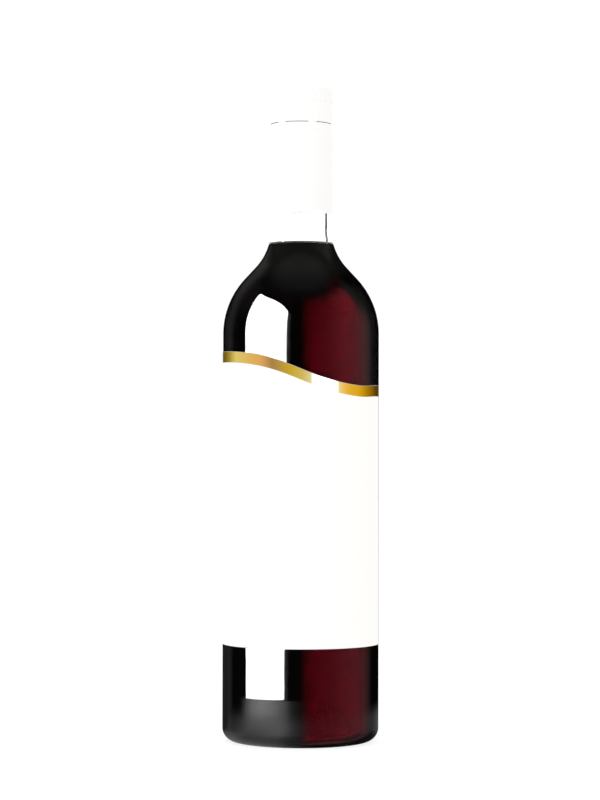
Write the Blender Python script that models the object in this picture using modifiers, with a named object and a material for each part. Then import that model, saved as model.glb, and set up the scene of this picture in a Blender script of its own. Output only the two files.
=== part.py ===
"""A 750 ml wine bottle of clear glass, with red wine, a long aluminium screw cap and a wavy-topped label.

Metres, +Z up. The origin is at the centre of the base, on the surface that the bottle stands on.
The bottle's axis is Z, and the front of the label faces -Y. Profiles are (radius, height) points.
"""

import math

import bmesh
import bpy

# Outside of the glass
BODY_RADIUS = 0.0375
HEEL_RADIUS = 0.0065
SHOULDER_START = 0.1954
SHOULDER_RADIUS = 0.0390
NECK_RADIUS = 0.0146
NECK_FILLET_RADIUS = 0.0275
NECK_FILLET_END = 0.2462
FINISH_START = 0.2532
FINISH_RADIUS = 0.0143
RIM_ROUND = 0.0010

# Glass thickness, bore and base
BODY_WALL = 0.0037
NECK_WALL = 0.0026
BORE_RADIUS = 0.00925
BORE_TAPER_START = 0.2640
BORE_TAPER_END = 0.2860
CONTACT_INNER_RADIUS = 0.0280
PUNT_DEPTH = 0.0140
BASE_GLASS = 0.0035
INNER_HEEL_RADIUS = 0.0050

# Screw cap, a 30 x 60 mm closure
CAP_TOP = 0.3137
CAP_LENGTH = 0.0600
CAP_RADIUS = 0.0151
CAP_WALL = 0.00045
CAP_EDGE_ROUND = 0.0011
KNURL_START = 0.0016
KNURL_END = 0.0066
KNURL_DEPTH = 0.00025
KNURL_COUNT = 60
THREAD_BEAD_DROP = 0.0076
PERFORATION_DROP = 0.0172
LOCK_GROOVE_DROP = 0.0216
GROOVE_DEPTH = 0.00022
GROOVE_HALF_WIDTH = 0.0005

# Wine
FILL_HEIGHT = 0.2392

# Label, on the front of the body. Angles are in degrees from the front, to the right as seen.
LABEL_WIDTH = 0.1200
LABEL_RIGHT_ANGLE = 81.0
LABEL_BOTTOM = 0.0467
LABEL_THICKNESS = 0.0002
WAVE_MIDDLE_HEIGHT = 0.1784
WAVE_AMPLITUDE = 0.0088
WAVE_MIDDLE_ANGLE = -0.9
WAVE_SPREAD = 33.0
BAND_HEIGHT = 0.0056

# Clearance between pieces that touch in the real object
GAP = 0.0003

GLASS_STEPS = 56
CAP_STEPS = 2 * KNURL_COUNT
LABEL_STEPS = 48


def arc(centre, radius, start, end, steps):
    """Points of an arc from one angle to another in degrees, both ends included."""
    points = []
    for i in range(steps + 1):
        angle = math.radians(start + (end - start) * i / steps)
        points.append((centre[0] + radius * math.cos(angle), centre[1] + radius * math.sin(angle)))
    return points


def cut_at(points, height):
    """The start of a rising run of points, ended at a height."""
    kept = []
    for point in points:
        if kept and point[1] > height:
            last = kept[-1]
            share = (height - last[1]) / (point[1] - last[1])
            kept.append((last[0] + share * (point[0] - last[0]), height))
            break
        kept.append(point)
    return kept


def shoulder(body_inset, neck_inset, steps):
    """The rise from the body to the neck: two arcs and the line that touches both."""
    convex_centre = (BODY_RADIUS - SHOULDER_RADIUS, SHOULDER_START)
    hollow_centre = (NECK_RADIUS + NECK_FILLET_RADIUS, NECK_FILLET_END)
    convex_radius = SHOULDER_RADIUS - body_inset
    hollow_radius = NECK_FILLET_RADIUS + neck_inset
    across = hollow_centre[0] - convex_centre[0]
    up = hollow_centre[1] - convex_centre[1]
    turn = math.acos((convex_radius + hollow_radius) / math.hypot(across, up))
    touch = math.degrees(math.atan2(up, across) - turn)
    return (
        arc(convex_centre, convex_radius, 0, touch, steps)
        + arc(hollow_centre, hollow_radius, 180 + touch, 180, steps)
    )


def punt_centre_and_radius():
    """The sphere that pushes the base up between the contact ring's inner edges."""
    radius = (CONTACT_INNER_RADIUS**2 + PUNT_DEPTH**2) / (2 * PUNT_DEPTH)
    return (0.0, PUNT_DEPTH - radius), radius


def inside(inset, steps):
    """The inner face of the glass, moved in by inset, from the axis on its floor up to the neck."""
    centre, radius = punt_centre_and_radius()
    floor_radius = radius + BASE_GLASS + inset
    corner_radius = INNER_HEEL_RADIUS - inset
    corner_across = BODY_RADIUS - BODY_WALL - INNER_HEEL_RADIUS
    reach = floor_radius + corner_radius
    corner = (corner_across, centre[1] + math.sqrt(reach**2 - corner_across**2))
    lean = math.degrees(math.atan2(corner[1] - centre[1], corner[0]))
    return (
        arc(centre, floor_radius, 90, lean, 4)
        + arc(corner, corner_radius, lean - 180, 0, 4)
        + shoulder(BODY_WALL + inset, NECK_WALL + inset, steps)
    )


def glass_profile():
    """From the axis inside, up the inner face, over the rim, and down the outside to the punt."""
    rim = CAP_TOP - CAP_WALL - GAP
    punt_centre, punt_radius = punt_centre_and_radius()
    punt_edge = math.degrees(math.atan2(-punt_centre[1], CONTACT_INNER_RADIUS))
    outside_up = (
        arc((BODY_RADIUS - HEEL_RADIUS, HEEL_RADIUS), HEEL_RADIUS, -90, 0, 5)
        + shoulder(0, 0, 7)
        + [(FINISH_RADIUS, FINISH_START)]
    )
    return (
        inside(0, 7)
        + [(NECK_RADIUS - NECK_WALL, BORE_TAPER_START), (BORE_RADIUS, BORE_TAPER_END)]
        + arc((BORE_RADIUS + RIM_ROUND, rim - RIM_ROUND), RIM_ROUND, 180, 90, 2)
        + arc((FINISH_RADIUS - RIM_ROUND, rim - RIM_ROUND), RIM_ROUND, 90, 0, 2)
        + outside_up[::-1]
        + arc(punt_centre, punt_radius, punt_edge, 90, 4)
    )


def wine_profile():
    """The wine fills the inside to its surface in the neck. Its outer side runs down."""
    wall_up = cut_at(inside(GAP, 6), FILL_HEIGHT)
    return [(0.0, FILL_HEIGHT)] + wall_up[::-1]


def groove(drop):
    """A shallow rolled groove in the cap, a distance below its top."""
    height = CAP_TOP - drop
    return [
        (CAP_RADIUS, height + GROOVE_HALF_WIDTH),
        (CAP_RADIUS - GROOVE_DEPTH, height),
        (CAP_RADIUS, height - GROOVE_HALF_WIDTH),
    ]


def cap_profile():
    """From the axis on top, down the outside, round the lower edge and up the inside."""
    bottom = CAP_TOP - CAP_LENGTH
    inner_radius = CAP_RADIUS - CAP_WALL
    edge_centre = (CAP_RADIUS - CAP_EDGE_ROUND, CAP_TOP - CAP_EDGE_ROUND)
    return (
        [(0.0, CAP_TOP)]
        + arc(edge_centre, CAP_EDGE_ROUND, 90, 0, 3)
        + [(CAP_RADIUS, CAP_TOP - KNURL_START), (CAP_RADIUS, CAP_TOP - KNURL_END)]
        + groove(THREAD_BEAD_DROP)
        + groove(PERFORATION_DROP)
        + groove(LOCK_GROOVE_DROP)
        + [(CAP_RADIUS, bottom), (inner_radius, bottom)]
        + [(inner_radius, CAP_TOP - CAP_WALL), (0.0, CAP_TOP - CAP_WALL)]
    )


def band_top(angle):
    """Height of the gold band's upper edge: one smooth step down from left to right."""
    return WAVE_MIDDLE_HEIGHT - WAVE_AMPLITUDE * math.tanh((angle - WAVE_MIDDLE_ANGLE) / WAVE_SPREAD)


def band_bottom(angle):
    return band_top(angle) - BAND_HEIGHT


def paper_top(angle):
    return band_bottom(angle) - GAP


def paper_bottom(angle):
    return LABEL_BOTTOM


def clean(points):
    """The same run without points that repeat the one before."""
    kept = points[:1]
    for point in points[1:]:
        if math.dist(point, kept[-1]) > 1e-6:
            kept.append(point)
    return kept


def make_material(name, colour, roughness, metallic=0.0, transmission=0.0):
    material = bpy.data.materials.new(name)
    material.use_nodes = True
    shader = material.node_tree.nodes["Principled BSDF"]
    shader.inputs["Base Color"].default_value = (*colour, 1.0)
    shader.inputs["Roughness"].default_value = roughness
    shader.inputs["Metallic"].default_value = metallic
    shader.inputs["Transmission Weight"].default_value = transmission
    material.diffuse_color = (*colour, 1.0)
    return material


def add_object(name, mesh, material, parent, collection):
    piece = bpy.data.objects.new(name, mesh)
    mesh.materials.append(material)
    collection.objects.link(piece)
    piece.parent = parent
    return piece


def turned(name, profile, steps, material, parent, collection):
    """A profile in the XZ plane, turned about Z by a Screw modifier."""
    points = clean(profile)
    form = bmesh.new()
    corners = [form.verts.new((radius, 0.0, height)) for radius, height in points]
    for first, second in zip(corners, corners[1:]):
        form.edges.new((first, second))
    mesh = bpy.data.meshes.new(name)
    form.to_mesh(mesh)
    form.free()
    piece = add_object(name, mesh, material, parent, collection)
    screw = piece.modifiers.new("Turn", "SCREW")
    screw.axis = "Z"
    screw.angle = math.tau
    screw.steps = steps
    screw.render_steps = steps
    screw.use_merge_vertices = True
    screw.merge_threshold = 0.00001
    screw.use_smooth_shade = True
    return piece


def cut_knurls(piece):
    """Presses every second column of the knurled band inwards."""
    bpy.context.view_layer.update()
    evaluated = piece.evaluated_get(bpy.context.evaluated_depsgraph_get())
    mesh = bpy.data.meshes.new_from_object(evaluated)
    piece.modifiers.clear()
    piece.data = mesh
    low = CAP_TOP - KNURL_END
    high = CAP_TOP - KNURL_START
    for corner in mesh.vertices:
        across, along, height = corner.co
        radius = math.hypot(across, along)
        column = round(math.atan2(along, across) / math.tau * CAP_STEPS)
        outside = radius > CAP_RADIUS - CAP_WALL / 2
        if outside and column % 2 and low - GAP / 10 < height < high + GAP / 10:
            share = (radius - KNURL_DEPTH) / radius
            corner.co = (across * share, along * share, height)
    mesh.shade_smooth()
    mesh.set_sharp_from_angle(angle=math.radians(30))


def sheet(name, bottom, top, material, parent, collection):
    """Paper or foil wrapped on the body between two edges that follow the angle."""
    form = bmesh.new()
    bmesh.ops.create_grid(form, x_segments=LABEL_STEPS, y_segments=1, size=0.5)
    radius = BODY_RADIUS + GAP
    span = math.degrees(LABEL_WIDTH / BODY_RADIUS)
    for corner in form.verts:
        angle = LABEL_RIGHT_ANGLE + (corner.co.x - 0.5) * span
        height = bottom(angle) if corner.co.y < 0 else top(angle)
        turn = math.radians(angle)
        corner.co = (radius * math.sin(turn), -radius * math.cos(turn), height)
    bmesh.ops.recalc_face_normals(form, faces=form.faces)
    mesh = bpy.data.meshes.new(name)
    form.to_mesh(mesh)
    form.free()
    mesh.shade_smooth()
    piece = add_object(name, mesh, material, parent, collection)
    wall = piece.modifiers.new("Thickness", "SOLIDIFY")
    wall.thickness = LABEL_THICKNESS
    wall.offset = 1.0
    return piece


def main():
    for old in list(bpy.data.objects):
        bpy.data.objects.remove(old, do_unlink=True)
    collection = bpy.data.collections.new("Wine bottle")
    bpy.context.scene.collection.children.link(collection)
    centre = bpy.data.objects.new("wine_bottle", None)
    collection.objects.link(centre)

    glass = make_material("Flint glass", (0.93, 0.95, 0.94), 0.02, transmission=1.0)
    wine = make_material("Red wine", (0.055, 0.002, 0.006), 0.05)
    lacquer = make_material("White lacquered aluminium", (0.86, 0.86, 0.85), 0.32)
    paper = make_material("Uncoated white paper", (0.88, 0.88, 0.86), 0.75)
    gold = make_material("Gold foil", (0.72, 0.49, 0.12), 0.30, metallic=1.0)

    turned("bottle_glass", glass_profile(), GLASS_STEPS, glass, centre, collection)
    turned("red_wine", wine_profile(), GLASS_STEPS, wine, centre, collection)
    cap = turned("screw_cap", cap_profile(), CAP_STEPS, lacquer, centre, collection)
    cut_knurls(cap)
    sheet("label_paper", paper_bottom, paper_top, paper, centre, collection)
    sheet("gold_band", band_bottom, band_top, gold, centre, collection)


main()
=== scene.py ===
"""The looks of a 750 ml wine bottle: clear glass, red wine, white screw cap, white label with a gold edge.

Metres, +Z up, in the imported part's frame: the bottle stands on Z = 0 with its axis on Z, and faces -Y.
Angles round the bottle are in degrees from the front, to the right as seen.
Profiles are (radius, height) points.
"""

import math

import bmesh
import bpy
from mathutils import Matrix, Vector


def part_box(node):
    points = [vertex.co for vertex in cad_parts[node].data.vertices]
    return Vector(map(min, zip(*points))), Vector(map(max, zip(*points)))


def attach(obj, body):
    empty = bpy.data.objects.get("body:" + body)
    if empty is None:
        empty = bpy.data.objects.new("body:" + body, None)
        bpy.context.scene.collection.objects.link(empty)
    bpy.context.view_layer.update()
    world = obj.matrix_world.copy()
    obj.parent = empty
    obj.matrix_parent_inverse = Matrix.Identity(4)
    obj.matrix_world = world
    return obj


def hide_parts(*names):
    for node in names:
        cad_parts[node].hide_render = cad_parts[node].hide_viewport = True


MM = 0.001

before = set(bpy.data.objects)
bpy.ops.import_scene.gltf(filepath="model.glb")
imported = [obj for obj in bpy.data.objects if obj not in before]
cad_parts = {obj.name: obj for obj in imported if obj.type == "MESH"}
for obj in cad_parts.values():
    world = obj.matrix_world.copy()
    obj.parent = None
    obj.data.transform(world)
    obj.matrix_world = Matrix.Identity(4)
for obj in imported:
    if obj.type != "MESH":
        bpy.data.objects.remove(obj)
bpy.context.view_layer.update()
glass_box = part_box("bottle_glass")
cap_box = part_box("screw_cap")
wine_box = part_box("red_wine")
label_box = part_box("label_paper")

# Outside of the glass
BODY_RADIUS = glass_box[1].x
HEEL_RADIUS = 6.5 * MM
SHOULDER_START = 195.4 * MM
SHOULDER_RADIUS = 39.0 * MM
NECK_RADIUS = 14.6 * MM
NECK_FILLET_RADIUS = 27.5 * MM
NECK_FILLET_END = 246.2 * MM
FINISH_START = 253.2 * MM
FINISH_RADIUS = 14.3 * MM
RIM_ROUND = 1.0 * MM

# Glass thickness, bore and base
BODY_WALL = 3.7 * MM
NECK_WALL = 2.6 * MM
BORE_RADIUS = 9.25 * MM
BORE_TAPER_START = 264.0 * MM
BORE_TAPER_END = 286.0 * MM
CONTACT_INNER_RADIUS = 28.0 * MM
PUNT_DEPTH = 14.0 * MM

# Screw cap. A drop is a distance below its top, and a bridge's width and middle are angles.
CAP_TOP = cap_box[1].z
CAP_LENGTH = CAP_TOP - cap_box[0].z
CAP_RADIUS = cap_box[1].x
CAP_SIDE_FROM = CAP_RADIUS - 0.01 * MM
CAP_WALL = 0.45 * MM
CAP_CLEARANCE = 0.3 * MM
CAP_EDGE_ROUND = 1.1 * MM
KNURL_START = 1.6 * MM
KNURL_END = 6.6 * MM
KNURL_RAMP = 0.4 * MM
KNURL_DEPTH = 0.25 * MM
KNURL_COUNT = 60
THREAD_BEAD_DROP = 7.6 * MM
THREAD_START = 9.0 * MM
THREAD_PITCH = 3.2 * MM
THREAD_TURNS = 1.75
THREAD_FADE = 0.12
THREAD_DEPTH = 0.14 * MM
THREAD_HALF_WIDTH = 0.7 * MM
PERFORATION_DROP = 17.2 * MM
SLOT_HALF_HEIGHT = 0.17 * MM
SLOT_COUNT = 6
BRIDGE_WIDTH = 15.7
BRIDGE_MIDDLE = 20.8
LOCK_GROOVE_DROP = 21.6 * MM
GROOVE_DEPTH = 0.22 * MM
GROOVE_HALF_WIDTH = 0.5 * MM

# Wine. It reaches a little into the glass, and its lip and its meniscus rise at the wall.
FILL_HEIGHT = wine_box[1].z
MENISCUS_RISE = 1.15 * MM
MENISCUS_REACH = 1.5 * MM
LIQUID_LEVEL = FILL_HEIGHT - 1.2 * MM
WALL_REACH = 0.1 * MM
WINE_LIP = 0.2 * MM

# Label and foil, on the front of the body
LABEL_RIGHT_ANGLE = 81.0
LABEL_WIDTH = 120.0 * MM
LABEL_LEFT_ANGLE = LABEL_RIGHT_ANGLE - math.degrees(LABEL_WIDTH / BODY_RADIUS)
LABEL_BOTTOM = label_box[0].z
WAVE_MIDDLE_HEIGHT = 177.9 * MM
WAVE_AMPLITUDE = 8.8 * MM
WAVE_MIDDLE_ANGLE = -0.9
WAVE_SPREAD = 33.0
WAVE_LIFT = 1.1 * MM
WAVE_LIFT_ANGLES = (45.0, 75.0)
BAND_HEIGHT = 5.1 * MM
PAPER_MARGIN = 0.08 * MM
PAPER_RADIUS = BODY_RADIUS + 0.03 * MM
PAPER_THICKNESS = 0.14 * MM
FOIL_RADIUS = PAPER_RADIUS + PAPER_THICKNESS
FOIL_THICKNESS = 0.03 * MM

# Fineness of the meshes
GLASS_STEPS = 256
SHOULDER_STEPS = 30
BASE_STEPS = 14
INNER_HEEL_STEPS = 12
RIM_STEPS = 5
MENISCUS_STEPS = 12
CAP_STEPS = 480
CAP_EDGE_STEPS = 6
LABEL_STEPS = 220
LABEL_ROWS = 40
FOIL_ROWS = 4

# Points nearer than SAME_PLACE are one. A straight over LONG_STRAIGHT has a point HOLD from each end.
SAME_PLACE = 0.001 * MM
LONG_STRAIGHT = 2.0 * MM
HOLD = 0.25 * MM


# Shapes


def mix(first, second, share):
    """The value at a share of the way from the first to the second."""
    return first + (second - first) * share


def point_between(first, second, share):
    return mix(first[0], second[0], share), mix(first[1], second[1], share)


def arc(centre, radius, start, end, steps):
    """Points of an arc from one angle to another in degrees, both ends included."""
    points = []
    for i in range(steps + 1):
        angle = math.radians(start + (end - start) * i / steps)
        points.append((centre[0] + radius * math.cos(angle), centre[1] + radius * math.sin(angle)))
    return points


def cut_at(points, height):
    """The start of a rising run of points, ended at a height."""
    kept = []
    for point in points:
        if kept and point[1] > height:
            last = kept[-1]
            kept.append(point_between(last, point, (height - last[1]) / (point[1] - last[1])))
            break
        kept.append(point)
    return kept


def shoulder(body_inset, neck_inset):
    """The rise from the body to the neck: two arcs and the line that touches both."""
    convex_centre = (BODY_RADIUS - SHOULDER_RADIUS, SHOULDER_START)
    hollow_centre = (NECK_RADIUS + NECK_FILLET_RADIUS, NECK_FILLET_END)
    convex_radius = SHOULDER_RADIUS - body_inset
    hollow_radius = NECK_FILLET_RADIUS + neck_inset
    across = hollow_centre[0] - convex_centre[0]
    up = hollow_centre[1] - convex_centre[1]
    turn = math.acos((convex_radius + hollow_radius) / math.hypot(across, up))
    touch = math.degrees(math.atan2(up, across) - turn)
    return (
        arc(convex_centre, convex_radius, 0, touch, SHOULDER_STEPS)
        + arc(hollow_centre, hollow_radius, 180 + touch, 180, SHOULDER_STEPS)
    )


def punt_centre_and_radius():
    """The sphere that pushes the base up between the contact ring's inner edges."""
    radius = (CONTACT_INNER_RADIUS**2 + PUNT_DEPTH**2) / (2 * PUNT_DEPTH)
    return (0.0, PUNT_DEPTH - radius), radius


def inside(inset):
    """The inner face of the glass, moved in by inset, from the axis on its floor up to the neck."""
    centre = punt_centre_and_radius()[0]
    corner = (BODY_RADIUS - HEEL_RADIUS, HEEL_RADIUS)
    corner_radius = HEEL_RADIUS - BODY_WALL - inset
    rise = corner[1] - centre[1]
    floor_radius = math.hypot(corner[0], rise) - corner_radius
    lean = math.degrees(math.atan2(rise, corner[0]))
    return (
        arc(centre, floor_radius, 90, lean, BASE_STEPS)
        + arc(corner, corner_radius, lean - 180, 0, INNER_HEEL_STEPS)
        + shoulder(BODY_WALL + inset, NECK_WALL + inset)
    )


def glass_profile():
    """From the axis inside, up the inner face, over the rim, and down the outside to the punt."""
    rim = CAP_TOP - CAP_WALL - CAP_CLEARANCE
    punt_centre, punt_radius = punt_centre_and_radius()
    punt_edge = math.degrees(math.atan2(-punt_centre[1], CONTACT_INNER_RADIUS))
    outside_up = (
        arc((BODY_RADIUS - HEEL_RADIUS, HEEL_RADIUS), HEEL_RADIUS, -90, 0, BASE_STEPS)
        + shoulder(0, 0)
        + [(FINISH_RADIUS, FINISH_START)]
    )
    return (
        inside(0)
        + [(NECK_RADIUS - NECK_WALL, BORE_TAPER_START), (BORE_RADIUS, BORE_TAPER_END)]
        + arc((BORE_RADIUS + RIM_ROUND, rim - RIM_ROUND), RIM_ROUND, 180, 90, RIM_STEPS)
        + arc((FINISH_RADIUS - RIM_ROUND, rim - RIM_ROUND), RIM_ROUND, 90, 0, RIM_STEPS)
        + outside_up[::-1]
        + arc(punt_centre, punt_radius, punt_edge, 90, BASE_STEPS)
    )


def wine_profile():
    """The wine fills the inside and reaches a little into the glass. Its outer side runs down."""
    wall_up = cut_at(inside(-WALL_REACH), LIQUID_LEVEL + WINE_LIP)
    return [(0.0, LIQUID_LEVEL), (wall_up[-1][0] - WALL_REACH, LIQUID_LEVEL)] + wall_up[::-1]


def meniscus_profile():
    """The thin wedge that the wine draws up the wall of the neck, as a closed outline."""
    low = LIQUID_LEVEL - WALL_REACH
    wall_up = cut_at(inside(-WALL_REACH), LIQUID_LEVEL + MENISCUS_RISE)
    wall = [point for point in wall_up if point[1] > LIQUID_LEVEL]
    wall_radius = wall[-1][0] - WALL_REACH
    curve = []
    for i in range(MENISCUS_STEPS + 1):
        share = i / MENISCUS_STEPS
        height = LIQUID_LEVEL + MENISCUS_RISE * share**2
        curve.append((wall_radius - MENISCUS_REACH * (1 - share) ** 2, height))
    return [(wall[0][0], low), (curve[0][0], low)] + curve + wall[::-1]


def ease(value, low, high):
    """0 below low, 1 above high, smooth between."""
    share = min(max((value - low) / (high - low), 0.0), 1.0)
    return share * share * (3 - 2 * share)


def band_top(angle):
    """Height of the foil's upper edge: a smooth step down to the right, and a slight lift at its end."""
    step = WAVE_AMPLITUDE * math.tanh((angle - WAVE_MIDDLE_ANGLE) / WAVE_SPREAD)
    return WAVE_MIDDLE_HEIGHT - step + WAVE_LIFT * ease(angle, *WAVE_LIFT_ANGLES)


def held(points):
    """The same run without repeats, and with points near the ends of long straights, to shade them flat."""
    kept = points[:1]
    for point in points[1:]:
        last = kept[-1]
        length = math.dist(point, last)
        if length < SAME_PLACE:
            continue
        if length > LONG_STRAIGHT:
            kept += [point_between(last, point, share) for share in (HOLD / length, 1 - HOLD / length)]
        kept.append(point)
    return kept


def from_axis(corner):
    """Distance from the bottle's axis, and the angle from the front."""
    return math.hypot(corner.x, corner.y), math.degrees(math.atan2(corner.x, -corner.y))


def at_angle(radius, angle, height):
    """The point at a distance from the bottle's axis and an angle from the front."""
    turn = math.radians(angle)
    return Vector((radius * math.sin(turn), -radius * math.cos(turn), height))


def spun(profile, steps, closed=False):
    """A bmesh of a profile turned about Z."""
    form = bmesh.new()
    corners = [form.verts.new((radius, 0.0, height)) for radius, height in held(profile)]
    pairs = list(zip(corners, corners[1:]))
    if closed:
        pairs.append((corners[-1], corners[0]))
    for first, second in pairs:
        form.edges.new((first, second))
    bmesh.ops.spin(
        form, geom=form.verts[:] + form.edges[:], cent=(0, 0, 0), axis=(0, 0, 1), dvec=(0, 0, 0),
        angle=math.tau, steps=steps, use_merge=True,
    )
    bmesh.ops.remove_doubles(form, verts=form.verts[:], dist=SAME_PLACE)
    bmesh.ops.recalc_face_normals(form, faces=form.faces[:])
    return form


def thicken(form, thickness):
    """Gives an open sheet its thickness, towards the bottle's axis."""
    bmesh.ops.recalc_face_normals(form, faces=form.faces[:])
    form.normal_update()
    widest = max(form.faces, key=lambda face: from_axis(face.calc_center_median())[0])
    middle = widest.calc_center_median()
    if widest.normal.dot(Vector((middle.x, middle.y, 0.0))) < 0:
        bmesh.ops.reverse_faces(form, faces=form.faces[:])
    bmesh.ops.solidify(form, geom=form.faces[:], thickness=thickness)


def object_of(name, form, material):
    """An object of a form and its material, in the scene."""
    mesh = bpy.data.meshes.new(name)
    form.to_mesh(mesh)
    form.free()
    mesh.materials.append(material)
    piece = bpy.data.objects.new(name, mesh)
    bpy.context.scene.collection.objects.link(piece)
    return piece


def finished(name, form, material, sharp=32.0, nodes=()):
    """Makes the piece: smooth faces, its finish, its place in the part's body."""
    piece = object_of(name, form, material)
    piece.data.shade_smooth()
    piece.data.set_sharp_from_angle(angle=math.radians(sharp))
    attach(piece, "root")
    if nodes:
        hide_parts(*nodes)
    return piece


# Materials


def linear(code):
    """A colour written as sRGB hex, as the linear numbers that shaders take."""
    values = []
    for i in (0, 2, 4):
        share = int(code[i:i + 2], 16) / 255
        values.append(share / 12.92 if share <= 0.04045 else ((share + 0.055) / 1.055) ** 2.4)
    return (*values, 1.0)


def set_inputs(tree, node, inputs):
    """Sets a node's inputs, and links those whose value is another node's output."""
    for name, value in inputs.items():
        if isinstance(value, bpy.types.NodeSocket):
            tree.links.new(value, node.inputs[name])
        else:
            node.inputs[name].default_value = value


def add_node(tree, kind, inputs=None, **settings):
    """Adds a node with its settings, and sets or links its inputs."""
    made = tree.nodes.new(kind)
    for name, value in settings.items():
        setattr(made, name, value)
    set_inputs(tree, made, inputs or {})
    return made


def set_stops(ramp, stops):
    """Gives a Color Ramp its stops: (position, linear colour) pairs in rising order."""
    elements = ramp.color_ramp.elements
    while len(elements) > 1:
        elements.remove(elements[-1])
    for i, (position, colour) in enumerate(stops):
        stop = elements[0] if i == 0 else elements.new(position)
        stop.position = position
        stop.color = colour


def set_round_stops(ramp, tones):
    """The same over angle_factor, from (degrees from the front, linear colour) pairs."""
    set_stops(ramp, [(angle / 360 + 0.5, colour) for angle, colour in tones])


def angle_factor(tree, place):
    """The angle from the front as a number, 0 at -180 degrees and 1 at +180, and the height."""
    split = add_node(tree, "ShaderNodeSeparateXYZ", {"Vector": place})
    back = add_node(tree, "ShaderNodeMath", {0: split.outputs["Y"], 1: -1.0}, operation="MULTIPLY")
    angle = add_node(tree, "ShaderNodeMath", {0: split.outputs["X"], 1: back.outputs[0]}, operation="ARCTAN2")
    share = add_node(
        tree, "ShaderNodeMath", {0: angle.outputs[0], 1: 1 / math.tau, 2: 0.5}, operation="MULTIPLY_ADD"
    )
    return share.outputs[0], split.outputs["Z"]


def stepped(tree, value, level, *steps):
    """A level that changes smoothly at each step, given as its two edges on the value and the level after."""
    for (start, end), after in steps:
        change = add_node(tree, "ShaderNodeMapRange", {
            "Value": value, "From Min": start, "From Max": end, "To Min": level, "To Max": after,
        }, interpolation_type="SMOOTHSTEP")
        level = change.outputs["Result"]
    return level


def fine_relief(tree, place, grain, detail, strength, depth):
    """The normal of a surface with a fine uneven relief, its grain and depth in metres."""
    pattern = add_node(tree, "ShaderNodeTexNoise", {"Vector": place, "Scale": 1 / grain, "Detail": detail})
    bump = add_node(tree, "ShaderNodeBump", {
        "Height": pattern.outputs["Fac"], "Strength": strength, "Distance": depth,
    })
    return bump.outputs["Normal"]


def new_material(name):
    """A material with its Principled shader."""
    material = bpy.data.materials.new(name)
    material.use_nodes = True
    return material, material.node_tree, material.node_tree.nodes["Principled BSDF"]


NECK_ROUGHNESS = 0.01
NECK_START = (LIQUID_LEVEL + 0.55 * MM, LIQUID_LEVEL + 0.65 * MM)


def flint_glass():
    """Blown flint glass: clear, with the faintest grey-green where light runs far through it.

    Above the wine it is a hair less sharp, and stays clear: the studio's ruby is for sharp rays alone.
    """
    material, tree, shader = new_material("Flint glass, fire-polished")
    place = add_node(tree, "ShaderNodeTexCoord")
    split = add_node(tree, "ShaderNodeSeparateXYZ", {"Vector": place.outputs["Object"]})
    set_inputs(tree, shader, {
        "Base Color": linear("FCFEFD"),
        "Roughness": stepped(tree, split.outputs["Z"], 0.0, (NECK_START, NECK_ROUGHNESS)),
        "IOR": 1.52,
        "Transmission Weight": 1.0,
    })
    tint = add_node(tree, "ShaderNodeVolumeAbsorption", {"Color": linear("B9C4B4"), "Density": 9.0})
    set_inputs(tree, tree.nodes["Material Output"], {"Volume": tint.outputs["Volume"]})
    return material


WINE_SHINE = 0.07
WINE_SHINE_FADE = (214 * MM, 222 * MM)
# Painted glow in the neck's wine: emission strength, and the heights over which it rises
NECK_PAINTED_GLOW = 0.006
NECK_PAINTED_GLOW_RISE = (217 * MM, 227 * MM)
WINE_CLOUD_SIZE = 14 * MM


def red_wine():
    """Deep red wine: nearly black, with a ruby shine from the body.

    The shine fades out below the neck. There the wine has a painted faint grey glow, an emission that stands
    in for light getting through it.
    """
    material, tree, shader = new_material("Red wine, deep")
    place = add_node(tree, "ShaderNodeTexCoord")
    split = add_node(tree, "ShaderNodeSeparateXYZ", {"Vector": place.outputs["Object"]})
    cloud = add_node(tree, "ShaderNodeTexNoise", {
        "Vector": place.outputs["Object"], "Scale": 1 / WINE_CLOUD_SIZE, "Detail": 2.0,
    })
    depth = add_node(tree, "ShaderNodeValToRGB", {"Fac": cloud.outputs["Fac"]})
    set_stops(depth, [(0.3, linear("260509")), (0.7, linear("2E070D"))])
    set_inputs(tree, shader, {
        "Base Color": depth.outputs["Color"],
        "Roughness": 0.12,
        "IOR": 1.34,
        "Specular IOR Level": stepped(tree, split.outputs["Z"], WINE_SHINE, (WINE_SHINE_FADE, 0.0)),
        # Painted glow: a faint emission in the wine of the neck
        "Emission Color": linear("FFFFF2"),
        "Emission Strength": stepped(tree, split.outputs["Z"], 0.0, (NECK_PAINTED_GLOW_RISE, NECK_PAINTED_GLOW)),
    })
    return material


def wine_edge():
    """The thin edge of the wine: clear liquid with a brown tint, so dense that it looks like a dark rim."""
    material, tree, shader = new_material("Red wine, thin edge")
    set_inputs(tree, shader, {
        "Base Color": linear("FFFFFF"),
        "Roughness": 0.0,
        "IOR": 1.34,
        "Specular Tint": linear("595959"),
        "Transmission Weight": 1.0,
    })
    tint = add_node(tree, "ShaderNodeVolumeAbsorption", {"Color": linear("A6893F"), "Density": 5800.0})
    set_inputs(tree, tree.nodes["Material Output"], {"Volume": tint.outputs["Volume"]})
    return material


def white_lacquer():
    """Baked white lacquer on drawn aluminium: satin, with a fine orange peel."""
    material, tree, shader = new_material("White lacquered aluminium")
    place = add_node(tree, "ShaderNodeTexCoord")
    set_inputs(tree, shader, {
        "Base Color": linear("F7F6F4"),
        "Roughness": 0.34,
        "IOR": 1.5,
        "Normal": fine_relief(tree, place.outputs["Object"], 0.9 * MM, 2.0, 0.12, 0.05 * MM),
    })
    return material


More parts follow.
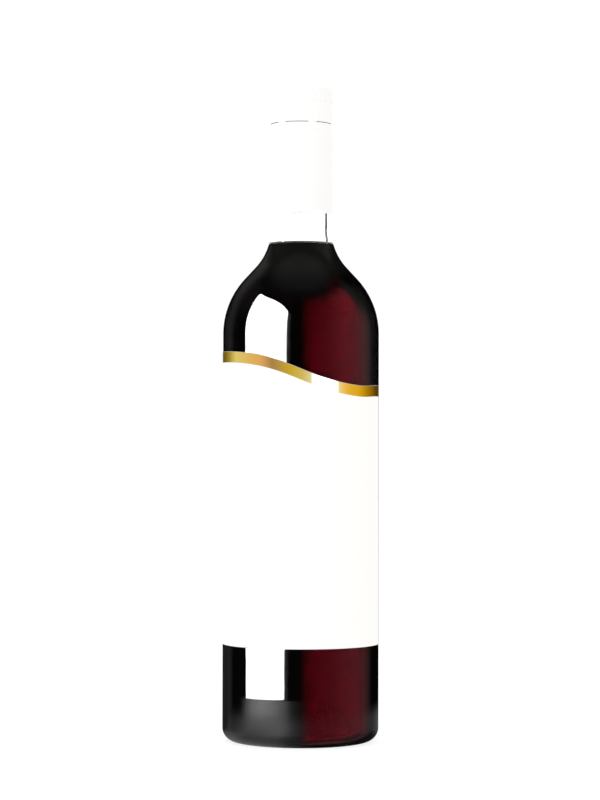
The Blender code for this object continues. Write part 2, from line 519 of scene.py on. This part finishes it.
def label_paper():
    """Uncoated felt-marked label paper: matt, warm white."""
    material, tree, shader = new_material("Uncoated label paper")
    place = add_node(tree, "ShaderNodeTexCoord")
    set_inputs(tree, shader, {
        "Base Color": linear("FAF9F6"),
        "Roughness": 0.78,
        "IOR": 1.5,
        "Normal": fine_relief(tree, place.outputs["Object"], 1.3 * MM, 4.0, 0.25, 0.08 * MM),
    })
    return material


# Painted light on the foil round the bottle: gold tones that stand in for reflections, a painted white
# highlight, and painted shade towards both ends
FOIL_PAINTED_SHINE = (
    (-110.0, "4A3A14"),
    (-77.0, "7A6632"),
    (-64.0, "B09C50"),
    (-55.0, "E2CA70"),
    (-40.0, "DCB45E"),
    (-30.0, "DCA45A"),
    (-21.0, "A47E48"),
    (-8.0, "C6A22C"),
    (1.0, "CCB258"),
    (7.5, "CCC08E"),
    (7.7, "F8F4EA"),
    (27.8, "F8F4EA"),
    (28.0, "B8AE76"),
    (31.0, "D4B064"),
    (35.5, "DEAA32"),
    (46.0, "DAA41C"),
    (57.0, "AC7E14"),
    (75.0, "4A3812"),
    (90.0, "403010"),
)


def gold_foil():
    """Hot-stamped gold foil: satin metal whose colour runs round the bottle as painted reflections, a painted
    highlight and painted shade.
    """
    material, tree, shader = new_material("Hot-stamped gold foil")
    place = add_node(tree, "ShaderNodeTexCoord")
    # Painted reflections, highlight and shade: the base colour follows the angle round the bottle
    tones = add_node(tree, "ShaderNodeValToRGB", {"Fac": angle_factor(tree, place.outputs["Object"])[0]})
    set_round_stops(tones, [(angle, linear(code)) for angle, code in FOIL_PAINTED_SHINE])
    set_inputs(tree, shader, {
        "Base Color": tones.outputs["Color"],
        "Metallic": 1.0,
        "Roughness": 0.32,
        "Specular Tint": linear("B4A684"),
        "Normal": fine_relief(tree, place.outputs["Object"], 0.8 * MM, 3.0, 0.1, 0.04 * MM),
    })
    return material


# Pieces


def bell(distance, half_width):
    """1 in the middle of a groove, falling smoothly to 0."""
    return math.exp(-((distance / half_width) ** 2))


def cap_relief(drop, angle):
    """How far the cap's skin is pressed in at a drop and an angle."""
    below_start = ease(drop, KNURL_START, KNURL_START + KNURL_RAMP)
    above_end = 1 - ease(drop, KNURL_END - KNURL_RAMP, KNURL_END)
    ridge = 0.5 - 0.5 * math.cos(math.radians(angle) * KNURL_COUNT)
    knurl = KNURL_DEPTH * below_start * above_end * ridge
    rings = sum(
        bell(drop - centre, GROOVE_HALF_WIDTH)
        for centre in (THREAD_BEAD_DROP, PERFORATION_DROP, LOCK_GROOVE_DROP)
    )
    thread = 0.0
    for turn in range(math.ceil(THREAD_TURNS)):
        along = turn + (angle + 180) / 360
        if along < THREAD_TURNS:
            fade = ease(along, 0.0, THREAD_FADE) * (1 - ease(along, THREAD_TURNS - THREAD_FADE, THREAD_TURNS))
            thread += fade * bell(drop - THREAD_START - THREAD_PITCH * along, THREAD_HALF_WIDTH)
    return knurl + GROOVE_DEPTH * rings + THREAD_DEPTH * thread


# Rows of faces down the cap's side: (drop where they end, height of a row)
CAP_ROWS = (
    (KNURL_START, 0.25 * MM),
    (KNURL_END, 0.45 * MM),
    (THREAD_START - 1.2 * MM, 0.2 * MM),
    (PERFORATION_DROP - SLOT_HALF_HEIGHT - 0.6 * MM, 0.4 * MM),
    (PERFORATION_DROP - SLOT_HALF_HEIGHT, 0.2 * MM),
    (PERFORATION_DROP + SLOT_HALF_HEIGHT, 2 * SLOT_HALF_HEIGHT),
    (PERFORATION_DROP + SLOT_HALF_HEIGHT + 0.8 * MM, 0.2 * MM),
    (LOCK_GROOVE_DROP - 1.0 * MM, 1.0 * MM),
    (LOCK_GROOVE_DROP + 1.0 * MM, 0.2 * MM),
    (CAP_LENGTH, 6.0 * MM),
)


def cap_profile():
    """The cap's outer skin: from the axis on top down to the open lower edge."""
    drops = [CAP_EDGE_ROUND]
    for end, row in CAP_ROWS:
        start = drops[-1]
        count = round((end - start) / row)
        drops += [mix(start, end, i / count) for i in range(1, count + 1)]
    edge_centre = (CAP_RADIUS - CAP_EDGE_ROUND, CAP_TOP - CAP_EDGE_ROUND)
    return (
        [(0.0, CAP_TOP), (CAP_RADIUS / 2, CAP_TOP)]
        + arc(edge_centre, CAP_EDGE_ROUND, 90, 0, CAP_EDGE_STEPS)
        + [(CAP_RADIUS, CAP_TOP - drop) for drop in drops]
    )


def in_slot(drop, angle):
    """True where the perforation is cut through, between its bridges."""
    pitch = 360 / SLOT_COUNT
    off = (angle - BRIDGE_MIDDLE + pitch / 2) % pitch - pitch / 2
    return abs(drop - PERFORATION_DROP) < SLOT_HALF_HEIGHT and abs(off) > BRIDGE_WIDTH / 2


def cap_form():
    """The cap's shell, with its relief pressed in and its perforation cut through."""
    form = spun(cap_profile(), CAP_STEPS)
    slots = []
    for face in form.faces:
        middle = face.calc_center_median()
        if in_slot(CAP_TOP - middle.z, from_axis(middle)[1]):
            slots.append(face)
    bmesh.ops.delete(form, geom=slots, context="FACES")
    for corner in form.verts:
        radius, angle = from_axis(corner.co)
        if radius > CAP_SIDE_FROM:
            corner.co = at_angle(radius - cap_relief(CAP_TOP - corner.co.z, angle), angle, corner.co.z)
    thicken(form, CAP_WALL)
    return form


def wrapped_sheet(bottom, top, radius, thickness, rows):
    """A thin sheet round the body between two edges that follow the angle."""
    form = bmesh.new()
    bmesh.ops.create_grid(form, x_segments=LABEL_STEPS, y_segments=rows, size=0.5)
    for corner in form.verts:
        angle = mix(LABEL_LEFT_ANGLE, LABEL_RIGHT_ANGLE, corner.co.x + 0.5)
        height = mix(bottom(angle), top(angle), corner.co.y + 0.5)
        corner.co = at_angle(radius + thickness, angle, height)
    thicken(form, thickness)
    return form


def label_form():
    """The label: a straight lower edge, and an upper one that follows the foil's."""
    return wrapped_sheet(
        lambda angle: LABEL_BOTTOM, lambda angle: band_top(angle) + PAPER_MARGIN,
        PAPER_RADIUS, PAPER_THICKNESS, LABEL_ROWS,
    )


def foil_form():
    """The foil: a band of even height that follows the wave."""
    return wrapped_sheet(
        lambda angle: band_top(angle) - BAND_HEIGHT, band_top,
        FOIL_RADIUS, FOIL_THICKNESS, FOIL_ROWS,
    )


glass_piece = finished(
    "clear_glass", spun(glass_profile(), GLASS_STEPS), flint_glass(), nodes=("bottle_glass",)
)
finished("wine_body", spun(wine_profile(), GLASS_STEPS), red_wine(), nodes=("red_wine",))
finished("wine_edge", spun(meniscus_profile(), GLASS_STEPS, closed=True), wine_edge())
cap_piece = finished(
    "screw_cap_shell", cap_form(), white_lacquer(), sharp=40.0, nodes=("screw_cap",)
)
label_piece = finished("label_sheet", label_form(), label_paper(), nodes=("label_paper",))
foil_piece = finished("foil_band", foil_form(), gold_foil(), nodes=("gold_band",))


# Studio

# What smooth glass mirrors: degrees from the front, then the brightness below the horizon, at it and high up
ROOM_TONES = (
    (-180.0, 0.0, 0.0, 0.0), (-158.0, 0.05, 0.0, 0.11), (-143.0, 0.06, 0.035, 0.17),
    (-128.0, 0.14, 0.09, 0.065), (-116.0, 0.01, 0.0, 0.02), (-98.0, 0.03, 0.005, 0.07),
    (-90.0, 0.03, 0.0, 0.06), (0.0, 0.03, 0.0, 0.0), (12.0, 0.032, 0.0, 0.0),
    (22.0, 0.037, 0.01, 0.0), (37.0, 0.07, 0.05, 0.02), (52.0, 0.105, 0.11, 0.06),
    (67.0, 0.175, 0.20, 0.13), (85.0, 0.20, 0.25, 0.15), (98.0, 0.21, 0.32, 0.18),
    (110.0, 0.19, 0.32, 0.17), (119.0, 0.12, 0.26, 0.12), (129.0, 0.012, 0.04, 0.01),
    (140.0, 0.005, 0.0, 0.0), (180.0, 0.0, 0.0, 0.0),
)
CEILING_DIP = (0.66, 0.80)
CEILING_DIP_LEVEL = 0.03
CEILING = (0.81, 0.97)
CEILING_LEVEL = 0.15

# What comes back out of the wine, in the same form as the room's tones
RUBY_COLOUR = "FF0042"
RUBY_GAIN = 7.1
RUBY_TONES = (
    (-180.0, 0.0, 0.0, 0.0), (0.0, 0.0, 0.0, 0.0), (3.0, 0.5, 0.5, 0.3), (12.0, 2.2, 2.2, 1.7),
    (21.0, 3.3, 3.4, 2.9), (30.0, 3.3, 3.5, 3.0), (40.0, 3.1, 3.5, 3.2), (50.0, 3.2, 3.9, 3.6),
    (61.0, 3.5, 4.6, 4.5), (72.0, 3.9, 4.9, 5.1), (84.0, 4.1, 4.75, 5.7), (97.0, 3.7, 3.5, 5.6),
    (111.0, 2.4, 2.15, 3.8), (115.0, 0.0, 0.0, 0.0),
)
# It fades out high up, and is for rays that passed fewer faces of glass than this
RUBY_TOP = (0.58, 0.88)
RUBY_DEPTH = 2.5

# The ruby that the outside of the glass mirrors, in the same form: at the foot and down the right edge
EDGE_TONES = (
    (-10.0, 0.0, 0.0, 0.0), (15.0, 0.35, 0.0, 0.0), (33.0, 0.5, 0.0, 0.0), (57.0, 0.68, 0.0, 0.0),
    (86.0, 0.65, 0.0, 0.0), (102.5, 0.4, 0.0, 0.0), (105.0, 0.35, 0.5, 0.0), (108.0, 0.3, 0.36, 0.0),
    (112.0, 0.2, 0.27, 0.0), (116.0, 0.15, 0.18, 0.0), (122.0, 0.1, 0.05, 0.0), (128.0, 0.05, 0.0, 0.0),
    (137.0, 0.0, 0.0, 0.0),
)
EDGE_UNDER = (-0.78, -0.66)

# What clear glass mirrors inside itself, in the same form: bright for the neck's edges,
# dark for the line down its right
CLEAR_TONES = (
    (-180.0, 0.1, 2.4, 0.0), (-166.0, 0.1, 2.4, 0.0), (-156.0, 0.1, 2.4, 2.4), (-128.0, 0.1, 2.4, 2.4),
    (-120.0, 0.1, 0.5, 0.5), (116.5, 0.1, 0.5, 0.5), (118.5, 0.1, 0.0, 0.0), (136.5, 0.1, 0.0, 0.0),
    (138.0, 0.1, 2.4, 2.4), (156.0, 0.1, 2.4, 2.4), (166.0, 0.1, 2.4, 0.0), (180.0, 0.1, 2.4, 0.0),
)
CLEAR_UNDER_EDGE = (-0.02, 0.005)
CLEAR_HIGH_EDGE = (0.14, 0.26)

# Light mirrored across the bore, and light straight from behind: (degrees from the front, across, behind)
BEHIND_TONES = (
    (-180.0, 0.1, 1.5), (-172.0, 0.1, 1.5), (-170.0, 3.0, 1.5), (132.0, 3.0, 1.5), (133.0, 3.0, 0.0),
    (142.0, 3.0, 0.0), (144.0, 0.1, 0.0), (155.0, 0.1, 0.0), (157.0, 0.1, 1.5), (180.0, 0.1, 1.5),
)

# Where the tones at the horizon take over, and where those high up do: heights of a direction, up to 1
UNDER_EDGE = (-0.045, 0.0)
HIGH_EDGE = (0.18, 0.52)

# The white that lights everything but smooth glass
WHITE_LEVEL = 1.03


def level_colour(levels, peak=1.0):
    """Two or three levels as the channels of a colour, scaled down by a peak."""
    channels = [level / peak for level in levels] + [0.0]
    return (*channels[:3], 1.0)


def round_levels(tree, share, tones):
    """A table's levels round the bottle, as a vector."""
    peak = max(max(levels) for angle, *levels in tones)
    ramp = add_node(tree, "ShaderNodeValToRGB", {"Fac": share})
    set_round_stops(ramp, [(angle, level_colour(levels, peak)) for angle, *levels in tones])
    scaled = add_node(
        tree, "ShaderNodeVectorMath", {0: ramp.outputs["Color"], "Scale": peak}, operation="SCALE"
    )
    return scaled.outputs["Vector"]


def tones_between(tree, share, up, tones, under_edge=UNDER_EDGE, high_edge=HIGH_EDGE):
    """Brightness round the bottle that goes with height from a table's first tones to its last."""
    split = add_node(tree, "ShaderNodeSeparateXYZ", {"Vector": round_levels(tree, share, tones)})
    low, level, high = split.outputs
    return stepped(tree, up, low, (under_edge, level), (high_edge, high))


def make_world():
    """White all round. Sharp reflections see a dim room instead, so that the glass shows its form."""
    world = bpy.data.worlds.new("White studio")
    world.use_nodes = True
    bpy.context.scene.world = world
    tree = world.node_tree
    tree.nodes.clear()
    place = add_node(tree, "ShaderNodeTexCoord")
    share, up = angle_factor(tree, place.outputs["Generated"])
    path = add_node(tree, "ShaderNodeLightPath")
    through_glass = path.outputs["Is Transmission Ray"]

    # Mirrored by the outside of the glass: the dim room, and a little ruby
    walls = tones_between(tree, share, up, ROOM_TONES)
    grey_room = add_node(tree, "ShaderNodeBackground", {
        "Strength": stepped(tree, up, walls, (CEILING_DIP, CEILING_DIP_LEVEL), (CEILING, CEILING_LEVEL)),
    })
    ruby_edge = add_node(tree, "ShaderNodeBackground", {
        "Color": linear(RUBY_COLOUR), "Strength": tones_between(tree, share, up, EDGE_TONES, EDGE_UNDER),
    })
    room = add_node(tree, "ShaderNodeAddShader", {0: grey_room.outputs[0], 1: ruby_edge.outputs[0]})

    # Seen by sharp rays that come back out of the glass: ruby after few faces, and the clear glass's tones
    shallow = add_node(
        tree, "ShaderNodeMath", {0: path.outputs["Transmission Depth"], 1: RUBY_DEPTH}, operation="LESS_THAN"
    )
    ruby = stepped(tree, up, tones_between(tree, share, up, RUBY_TONES), (RUBY_TOP, 0.0))
    ruby_share = add_node(tree, "ShaderNodeMath", {0: ruby, 1: shallow.outputs[0]}, operation="MULTIPLY")
    ruby_level = add_node(
        tree, "ShaderNodeMath", {0: ruby_share.outputs[0], 1: RUBY_GAIN}, operation="MULTIPLY"
    )
    ruby_light = add_node(tree, "ShaderNodeBackground", {
        "Color": linear(RUBY_COLOUR), "Strength": ruby_level.outputs[0],
    })
    behind = add_node(tree, "ShaderNodeSeparateXYZ", {"Vector": round_levels(tree, share, BEHIND_TONES)})
    clear_level = add_node(tree, "ShaderNodeMapRange", {
        "Value": shallow.outputs[0],
        "To Min": behind.outputs["X"],
        "To Max": tones_between(tree, share, up, CLEAR_TONES, CLEAR_UNDER_EDGE, CLEAR_HIGH_EDGE),
    })
    clear_light = add_node(tree, "ShaderNodeBackground", {"Strength": clear_level.outputs["Result"]})
    through = add_node(tree, "ShaderNodeAddShader", {0: ruby_light.outputs[0], 1: clear_light.outputs[0]})
    sharp_view = add_node(tree, "ShaderNodeMixShader", {
        "Fac": through_glass, 1: room.outputs[0], 2: through.outputs[0],
    })

    # Seen by all other rays: white, and through the glass the light from behind and the clear glass's tones
    bounced = add_node(
        tree, "ShaderNodeMath", {0: path.outputs["Glossy Depth"], 1: 0.5}, operation="GREATER_THAN"
    )
    neck_level = add_node(tree, "ShaderNodeMapRange", {
        "Value": bounced.outputs[0],
        "To Min": behind.outputs["Y"],
        "To Max": clear_level.outputs["Result"],
    })
    white_level = add_node(tree, "ShaderNodeMapRange", {
        "Value": through_glass, "To Min": WHITE_LEVEL, "To Max": neck_level.outputs["Result"],
    })
    white = add_node(tree, "ShaderNodeBackground", {
        "Color": linear("FFFFFF"), "Strength": white_level.outputs["Result"],
    })
    sharp = add_node(
        tree, "ShaderNodeMath", {0: bounced.outputs[0], 1: path.outputs["Is Singular Ray"]},
        operation="MULTIPLY",
    )
    both = add_node(tree, "ShaderNodeMixShader", {
        "Fac": sharp.outputs[0], 1: white.outputs[0], 2: sharp_view.outputs[0],
    })
    add_node(tree, "ShaderNodeOutputWorld", {"Surface": both.outputs[0]})


def lit_by(lamp, *receivers):
    """The lamp or panel lights these pieces alone."""
    chosen = bpy.data.collections.new("Lit by " + lamp.name)
    for piece in receivers:
        chosen.objects.link(piece)
    lamp.light_linking.receiver_collection = chosen


def stage_piece(name, form, material, **kinds):
    """Makes a piece of the studio, which is no part of the bottle, for the kinds of ray that see it."""
    piece = object_of(name, form, material)
    for kind in ("camera", "diffuse", "glossy", "transmission", "volume_scatter", "shadow"):
        setattr(piece, "visible_" + kind, kinds.get(kind, False))
    return piece


def flat_square(half_width, height=0.0):
    """A level square round the axis."""
    form = bmesh.new()
    bmesh.ops.create_grid(form, x_segments=1, y_segments=1, size=half_width)
    bmesh.ops.translate(form, verts=form.verts[:], vec=(0, 0, height))
    return form


def added_light(name, strength=0.0):
    """A material whose light adds to what is behind it, and the node that gives the light."""
    material = bpy.data.materials.new(name)
    material.use_nodes = True
    tree = material.node_tree
    tree.nodes.clear()
    glow = add_node(tree, "ShaderNodeEmission", {"Strength": strength})
    clear = add_node(tree, "ShaderNodeBsdfTransparent")
    both = add_node(tree, "ShaderNodeAddShader", {0: glow.outputs[0], 1: clear.outputs[0]})
    add_node(tree, "ShaderNodeOutputMaterial", {"Surface": both.outputs[0]})
    return material, glow


# Light on the floor as the glass mirrors it: (degrees from the front, brightness near the foot, farther out)
FLOOR_GLOW_REACH = 0.255
FLOOR_GLOW_HEIGHT = 0.2 * MM
FLOOR_GLOW_TONES = (
    (-180.0, 0.0, 0.0), (-122.0, 0.0, 0.0), (-113.0, 0.06, 0.0), (-98.0, 0.22, 0.0), (-89.0, 0.36, 0.05),
    (-83.0, 0.46, 0.60), (-76.0, 0.60, 1.7), (-67.0, 0.86, 2.9), (-53.0, 0.96, 3.8), (-38.0, 1.30, 3.1),
    (-27.0, 1.45, 2.0), (-20.0, 1.35, 1.3), (-13.0, 0.80, 0.40), (-8.0, 0.54, 0.20), (2.0, 0.24, 0.05),
    (12.0, 0.07, 0.0), (52.0, 0.04, 0.0), (82.0, 0.06, 0.0), (112.0, 0.18, 0.0), (142.0, 0.17, 0.0),
    (160.0, 0.08, 0.0), (175.0, 0.0, 0.0),
)
# The two falls with distance from the axis: (metres, near the foot, farther out)
FLOOR_GLOW_FALL = (
    (0.032, 0.35, 0.0), (0.042, 0.60, 0.0), (0.055, 0.88, 0.0), (0.075, 1.0, 0.0), (0.095, 1.0, 0.06),
    (0.130, 0.95, 0.22), (0.150, 0.70, 0.38), (0.170, 0.33, 0.62), (0.190, 0.10, 0.88), (0.210, 0.0, 0.96),
    (0.2545, 0.0, 1.0), (0.2555, 0.0, 0.0),
)


def floor_glow():
    """Light that adds to what is behind it, and fades towards the bottle's foot."""
    material, glow = added_light("Light on the floor")
    tree = material.node_tree
    place = add_node(tree, "ShaderNodeTexCoord")
    tones = round_levels(tree, angle_factor(tree, place.outputs["Object"])[0], FLOOR_GLOW_TONES)
    length = add_node(tree, "ShaderNodeVectorMath", {0: place.outputs["Object"]}, operation="LENGTH")
    reach = add_node(
        tree, "ShaderNodeMath", {0: length.outputs["Value"], 1: 2 * FLOOR_GLOW_REACH}, operation="DIVIDE"
    )
    fall = add_node(tree, "ShaderNodeValToRGB", {"Fac": reach.outputs[0]})
    set_stops(fall, [
        (distance / (2 * FLOOR_GLOW_REACH), level_colour(levels)) for distance, *levels in FLOOR_GLOW_FALL
    ])
    level = add_node(
        tree, "ShaderNodeVectorMath", {0: tones, 1: fall.outputs["Color"]}, operation="DOT_PRODUCT"
    )
    set_inputs(tree, glow, {"Strength": level.outputs["Value"]})
    return material


FLOOR_HALF_WIDTH = 5.0


def white_floor():
    """A white floor, lifted a little so that it meets the white backdrop without a line."""
    material, tree, shader = new_material("White floor")
    set_inputs(tree, shader, {
        "Base Color": linear("808080"),
        "Roughness": 0.9,
        "Emission Color": linear("FFFFFF"),
        "Emission Strength": 0.82,
    })
    return material


def make_floor():
    """A plain white floor, and over it the light that only the glass mirrors."""
    floor = stage_piece(
        "floor", flat_square(FLOOR_HALF_WIDTH), white_floor(), camera=True, diffuse=True, shadow=True
    )
    glow = stage_piece(
        "floor_glow", flat_square(FLOOR_GLOW_REACH, FLOOR_GLOW_HEIGHT), floor_glow(), glossy=True
    )
    lit_by(glow, glass_piece)
    return floor


# The tall softbox on the left, as one bent panel. Its edges are angles at the bottom and at the top.
SOFTBOX_REACH = 95 * MM
SOFTBOX_LEVEL = 28.0
SOFTBOX_LEFT = (-71.0, -74.6)
SOFTBOX_RIGHT = (-19.3, -15.8)
# Light past its right edge: (brightness, degrees wide)
SOFTBOX_SPILLS = ((0.9, 1.9), (0.25, 4.6))
# The height of its bottom at the left and at the right, and of its top: (degrees from the front, metres)
SOFTBOX_BOTTOM = (16.45 * MM, 17.0 * MM)
SOFTBOX_TOP = (
    (-74.7, 263 * MM), (-74.1, 274 * MM), (-71.7, 284 * MM), (-62.8, 279 * MM), (-55.7, 277 * MM),
    (-49.1, 274 * MM), (-42.8, 271 * MM), (-36.8, 266 * MM), (-31.2, 261 * MM), (-25.9, 255 * MM),
    (-20.8, 247 * MM), (-10.3, 229 * MM),
)
SOFTBOX_COLUMNS = 60
SOFTBOX_ROWS = 24


def panel_top(angle):
    """Height of the softbox's top at an angle."""
    for (first, low), (second, high) in zip(SOFTBOX_TOP, SOFTBOX_TOP[1:]):
        if angle <= second:
            break
    return mix(low, high, (angle - first) / (second - first))


def bent_panel(name, left, right, strength):
    """A panel bent round the bottle between two edges, each given as its angles at the bottom and the top."""
    form = bmesh.new()
    bmesh.ops.create_grid(form, x_segments=SOFTBOX_COLUMNS, y_segments=SOFTBOX_ROWS, size=0.5)
    highest = max(top for angle, top in SOFTBOX_TOP)
    for corner in form.verts:
        across = corner.co.x + 0.5
        top = panel_top(mix(left[1], right[1], across))
        height = mix(mix(*SOFTBOX_BOTTOM, across), top, corner.co.y + 0.5)
        rise = height / highest
        corner.co = at_angle(SOFTBOX_REACH, mix(mix(*left, rise), mix(*right, rise), across), height)
    piece = stage_piece(name, form, added_light(name + " light", strength)[0], glossy=True)
    lit_by(piece, glass_piece)


def make_softbox():
    """The tall softbox, with a little light past its right edge."""
    bent_panel("softbox", SOFTBOX_LEFT, SOFTBOX_RIGHT, SOFTBOX_LEVEL)
    for level, width in SOFTBOX_SPILLS:
        bent_panel(
            f"softbox_spill_{width:.0f}", SOFTBOX_RIGHT, [edge + width for edge in SOFTBOX_RIGHT], level
        )


def area_lamp(name, place, aim, size, watts, lit):
    """A soft square lamp at a place, aimed at a point, that lights some pieces. The camera doesn't see it."""
    data = bpy.data.lights.new(name, "AREA")
    data.shape = "SQUARE"
    data.size = size
    data.energy = watts
    lamp = bpy.data.objects.new(name, data)
    lamp.location = place
    lamp.rotation_euler = (Vector(aim) - Vector(place)).to_track_quat("-Z", "Y").to_euler()
    bpy.context.scene.collection.objects.link(lamp)
    lamp.visible_camera = False
    lit_by(lamp, *lit)
    return lamp


make_world()
floor_piece = make_floor()
make_softbox()
matt_pieces = (cap_piece, label_piece, foil_piece, floor_piece)
area_lamp("key", place=(-0.9, -1.1, 1.2), aim=(0, 0, 0.15), size=0.9, watts=4.0, lit=matt_pieces)
area_lamp(
    "foil_key", place=at_angle(0.9, 38.0, 0.2), aim=(0, 0, 0.18), size=0.25, watts=2.0, lit=(foil_piece,)
)

# A small lamp inside the neck, for the inside of the cap's skirt. The cap alone shades it.
skirt_light = area_lamp(
    "skirt_light", place=(0, 0, 0.245), aim=(0, 0, 0.3), size=8 * MM, watts=0.012, lit=(cap_piece,)
)
skirt_light.visible_glossy = False
skirt_light.visible_transmission = False
shading = bpy.data.collections.new("Shades the skirt light")
shading.objects.link(cap_piece)
skirt_light.light_linking.blocker_collection = shading


# Camera

CAMERA_DISTANCE = 1.200
CAMERA_HEIGHT = 0.142
CAMERA_ACROSS = -0.0004
CAMERA_NEAR_LIMIT = 0.05
CAMERA_PITCH = 1.035
CAMERA_ROLL = -0.1
PHOTO_FOCAL_PIXELS = 2490.0
PHOTO_LONG_SIDE = 800.0
SENSOR_SIDE = 36.0


def make_camera():
    """The photo's view: its place, its lens, and its slight tilt."""
    data = bpy.data.cameras.new("camera")
    data.sensor_width = SENSOR_SIDE
    data.lens = PHOTO_FOCAL_PIXELS / PHOTO_LONG_SIDE * SENSOR_SIDE
    data.clip_start = CAMERA_NEAR_LIMIT
    camera = bpy.data.objects.new("camera", data)
    camera.location = (CAMERA_ACROSS, -CAMERA_DISTANCE, CAMERA_HEIGHT)
    camera.rotation_euler = (math.radians(90 + CAMERA_PITCH), math.radians(CAMERA_ROLL), 0.0)
    bpy.context.scene.collection.objects.link(camera)
    bpy.context.scene.camera = camera


make_camera()
scene = bpy.context.scene
scene.view_settings.view_transform = "Standard"
scene.cycles.caustics_reflective = False
scene.cycles.caustics_refractive = False

bpy.context.view_layer.update()
